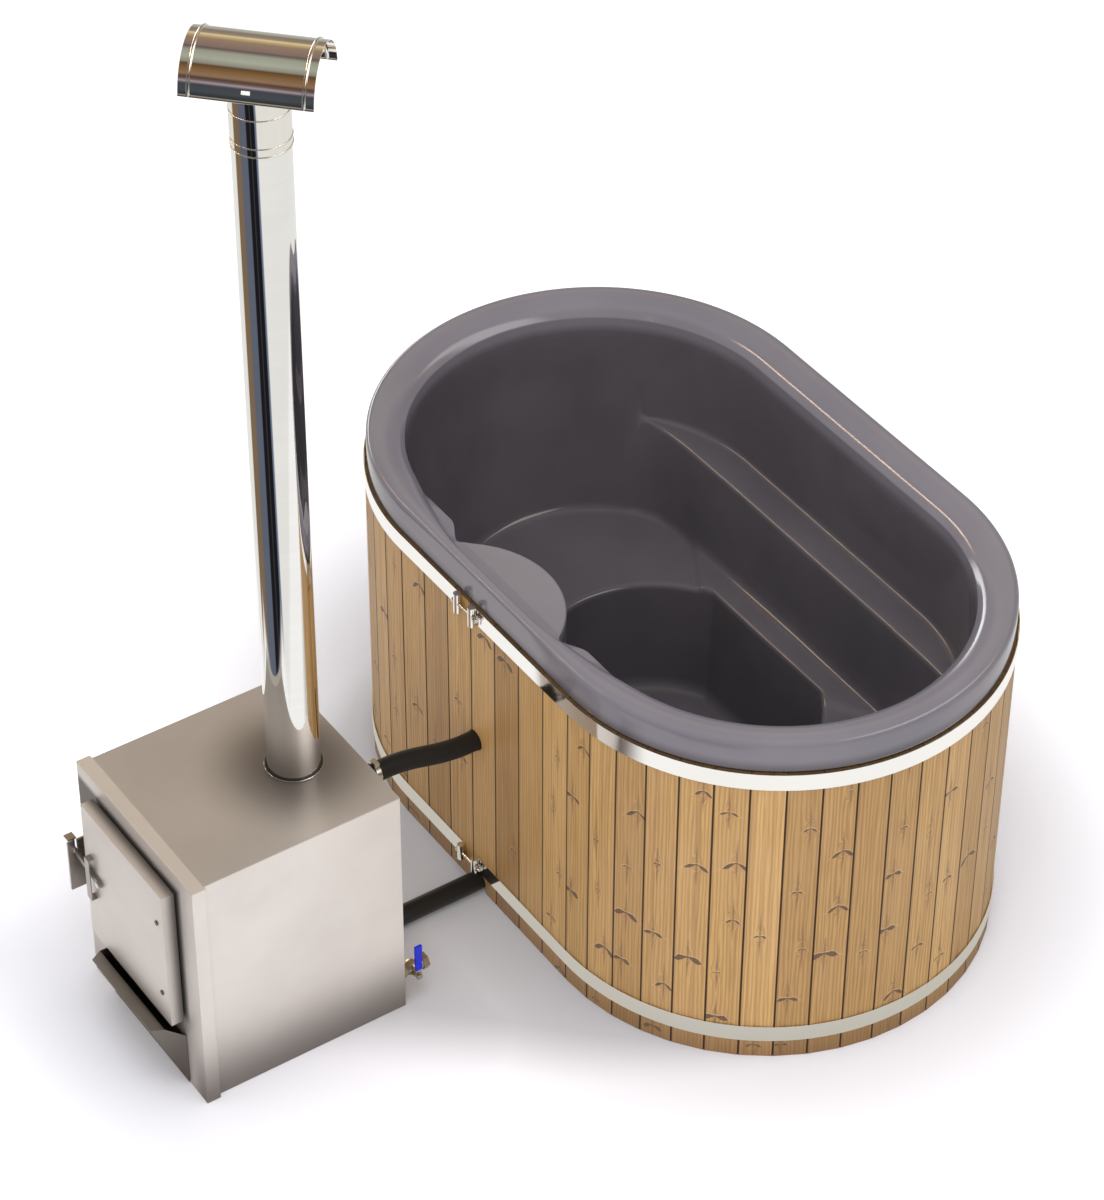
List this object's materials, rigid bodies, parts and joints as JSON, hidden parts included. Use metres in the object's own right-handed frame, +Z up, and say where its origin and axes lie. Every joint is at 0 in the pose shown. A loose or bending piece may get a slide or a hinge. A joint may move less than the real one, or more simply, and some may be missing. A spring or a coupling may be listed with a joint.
{
  "type": "wood-fired hot tub",
  "caption": "Stadium-shaped wooden hot tub with a moulded shell, joined by two hoses to an outside wood-burning stove with a tall chimney and rain cap.",
  "frame": {"origin": "on the floor under the middle of the tub, on the underside of the middle joist", "axes": "+X along the tub's length, +Y away from the stove, +Z up"},
  "size_m": [1.7642, 2.0463, 2.5102],
  "materials": {
    "shell_moulding": "glossy glass-fibre moulding, warm dark grey",
    "stave_pine": "heat-treated pine, oiled, golden brown",
    "hoop_steel": "polished stainless strap",
    "fastener_steel": "stainless, bright turned",
    "joist_timber": "pressure-treated softwood, sawn",
    "panel_plywood": "plywood, sanded",
    "fitting_steel": "stainless, satin",
    "hose_rubber": "black rubber, matt",
    "stove_steel": "bead-blasted stainless sheet, warm grey",
    "firebox_steel": "stainless plate, heat-stained and sooty",
    "grate_iron": "cast iron, rough",
    "collar_black": "black high-temperature seal",
    "chimney_steel": "mirror-polished stainless pipe",
    "cap_steel": "mirror-polished stainless sheet",
    "latch_steel": "cut and bent stainless, satin",
    "door_steel": "bead-blasted stainless sheet, warm grey",
    "drawer_steel": "bead-blasted stainless sheet, warm grey",
    "liner_steel": "stainless cover over insulation board",
    "seal_rope": "woven glass-fibre rope",
    "valve_brass": "nickel-washed brass, cast and turned",
    "sleeve_blue": "dipped blue vinyl sleeve"
  },
  "bodies": {
    "root": {"tub_shell": "shell_moulding", "staves_stove_side": "stave_pine", "staves_far_side": "stave_pine", "staves_head_end": "stave_pine", "staves_foot_end": "stave_pine", "hoop_upper": "hoop_steel", "hoop_lower": "hoop_steel", "hoop_upper_bolt": "fastener_steel", "hoop_lower_bolt": "fastener_steel", "base_joists": "joist_timber", "base_panel": "panel_plywood", "flow_fitting": "fitting_steel", "flow_fitting_nut": "fitting_steel", "return_elbow": "fitting_steel", "return_strainer": "fitting_steel", "hose_upper": "hose_rubber", "hose_lower": "hose_rubber", "hose_clamps": "fastener_steel", "stove_casing": "stove_steel", "stove_front_frame": "stove_steel", "firebox": "firebox_steel", "grate": "grate_iron", "stove_spigots": "fitting_steel", "flue_spigot": "firebox_steel", "flue_collar": "collar_black", "chimney_pipe": "chimney_steel", "rain_cap": "cap_steel", "rain_cap_bracket": "cap_steel", "latch_catch": "latch_steel", "hinge_arms": "latch_steel", "frame_rivets": "fastener_steel", "drain_valve_body": "valve_brass"},
    "door": {"door_tray": "door_steel", "door_liner": "liner_steel", "door_gasket": "seal_rope", "hinge_leaves": "latch_steel", "hinge_pins": "fastener_steel", "door_bolts": "fastener_steel", "latch_guide": "latch_steel", "latch_pivot": "fastener_steel"},
    "latch": {"latch_lever": "latch_steel"},
    "ash_drawer": {"ash_tray": "drawer_steel", "ash_hopper": "drawer_steel"},
    "valve_lever": {"drain_valve_lever": "fastener_steel", "drain_lever_sleeve": "sleeve_blue"}
  },
  "joints": [
    {"name": "door_swing", "type": "hinge", "parent": "root", "child": "door", "pos_m": [0.1275, -1.4345, 0.398], "axis": [0, 0, 1], "range_deg": [0, 90]},
    {"name": "latch_lift", "type": "hinge", "parent": "door", "child": "latch", "pos_m": [-0.15, -1.4595, 0.406], "axis": [0, 1, 0], "range_deg": [0, 25]},
    {"name": "ash_drawer_slide", "type": "slide", "parent": "root", "child": "ash_drawer", "axis": [0, -1, 0], "range_m": [0, 0.35]},
    {"name": "drain_valve_turn", "type": "hinge", "parent": "root", "child": "valve_lever", "pos_m": [0.2, -0.858, 0.077], "axis": [-1, 0, 0], "range_deg": [0, 90]}
  ]
}
